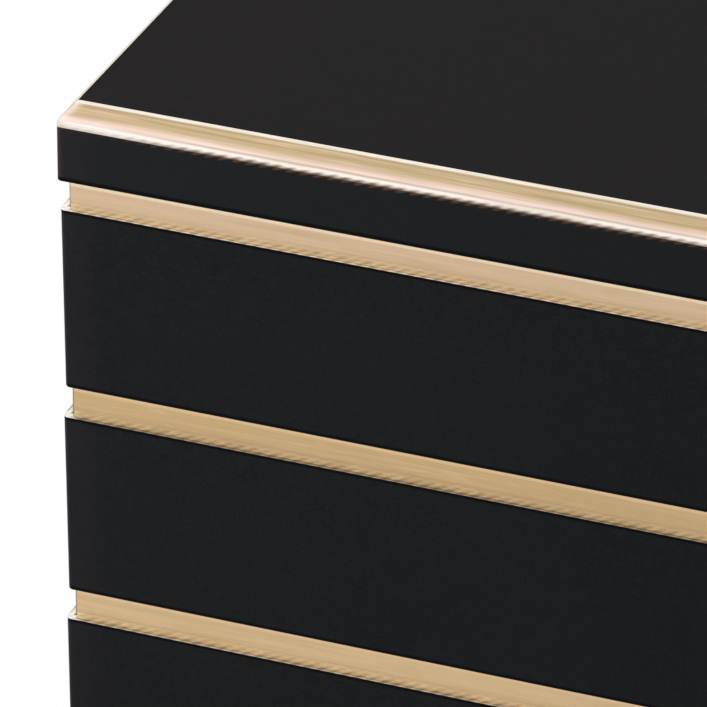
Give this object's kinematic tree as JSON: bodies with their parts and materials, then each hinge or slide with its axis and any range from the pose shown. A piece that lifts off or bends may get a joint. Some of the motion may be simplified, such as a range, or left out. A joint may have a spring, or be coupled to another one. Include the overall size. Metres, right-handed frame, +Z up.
{
  "type": "stacking box",
  "caption": "Square lacquered box of stacked tiers; each seats on the recessed gold neck of the one below, and a lift-off lid with a gold moulding covers the top.",
  "frame": {"origin": "centre of the footprint, on the surface that the feet of the bottom tier stand on", "axes": "+Z up out of the lid, front wall towards -Y, all four sides alike"},
  "size_m": [0.197, 0.197, 0.1981],
  "materials": {
    "wall_lacquer": "satin black lacquer outside, vermilion lacquer inside",
    "panel_lacquer": "satin black lacquer, vermilion underside",
    "floor_lacquer": "satin vermilion lacquer above, black below",
    "foot_lacquer": "satin black lacquer",
    "gold_lacquer": "lengthwise brushed gold finish on wood",
    "bare_wood": "unfinished hardwood, hidden in the mitres"
  },
  "bodies": {
    "bottom_tier": {"bottom_wall_front": "wall_lacquer", "bottom_wall_right": "wall_lacquer", "bottom_wall_back": "wall_lacquer", "bottom_wall_left": "wall_lacquer", "bottom_neck_front": "gold_lacquer", "bottom_neck_right": "gold_lacquer", "bottom_neck_back": "gold_lacquer", "bottom_neck_left": "gold_lacquer", "bottom_foot_front": "foot_lacquer", "bottom_foot_right": "foot_lacquer", "bottom_foot_back": "foot_lacquer", "bottom_foot_left": "foot_lacquer", "bottom_floor": "floor_lacquer", "bottom_corner_splines": "bare_wood"},
    "middle_tier": {"middle_wall_front": "wall_lacquer", "middle_wall_right": "wall_lacquer", "middle_wall_back": "wall_lacquer", "middle_wall_left": "wall_lacquer", "middle_neck_front": "gold_lacquer", "middle_neck_right": "gold_lacquer", "middle_neck_back": "gold_lacquer", "middle_neck_left": "gold_lacquer", "middle_foot_front": "foot_lacquer", "middle_foot_right": "foot_lacquer", "middle_foot_back": "foot_lacquer", "middle_foot_left": "foot_lacquer", "middle_floor": "floor_lacquer", "middle_corner_splines": "bare_wood"},
    "top_tier": {"top_wall_front": "wall_lacquer", "top_wall_right": "wall_lacquer", "top_wall_back": "wall_lacquer", "top_wall_left": "wall_lacquer", "top_neck_front": "gold_lacquer", "top_neck_right": "gold_lacquer", "top_neck_back": "gold_lacquer", "top_neck_left": "gold_lacquer", "top_foot_front": "foot_lacquer", "top_foot_right": "foot_lacquer", "top_foot_back": "foot_lacquer", "top_foot_left": "foot_lacquer", "top_floor": "floor_lacquer", "top_corner_splines": "bare_wood"},
    "lid": {"lid_side_front": "wall_lacquer", "lid_side_right": "wall_lacquer", "lid_side_back": "wall_lacquer", "lid_side_left": "wall_lacquer", "lid_moulding_front": "gold_lacquer", "lid_moulding_right": "gold_lacquer", "lid_moulding_back": "gold_lacquer", "lid_moulding_left": "gold_lacquer", "lid_locator_front": "foot_lacquer", "lid_locator_right": "foot_lacquer", "lid_locator_back": "foot_lacquer", "lid_locator_left": "foot_lacquer", "lid_panel": "panel_lacquer", "lid_corner_splines": "bare_wood"}
  },
  "joints": [
    {"name": "middle_tier_lift", "type": "slide", "parent": "bottom_tier", "child": "middle_tier", "axis": [0, 0, 1], "range_m": [0, 0.12]},
    {"name": "top_tier_lift", "type": "slide", "parent": "middle_tier", "child": "top_tier", "axis": [0, 0, 1], "range_m": [0, 0.12]},
    {"name": "lid_lift", "type": "slide", "parent": "top_tier", "child": "lid", "axis": [0, 0, 1], "range_m": [0, 0.12]}
  ]
}
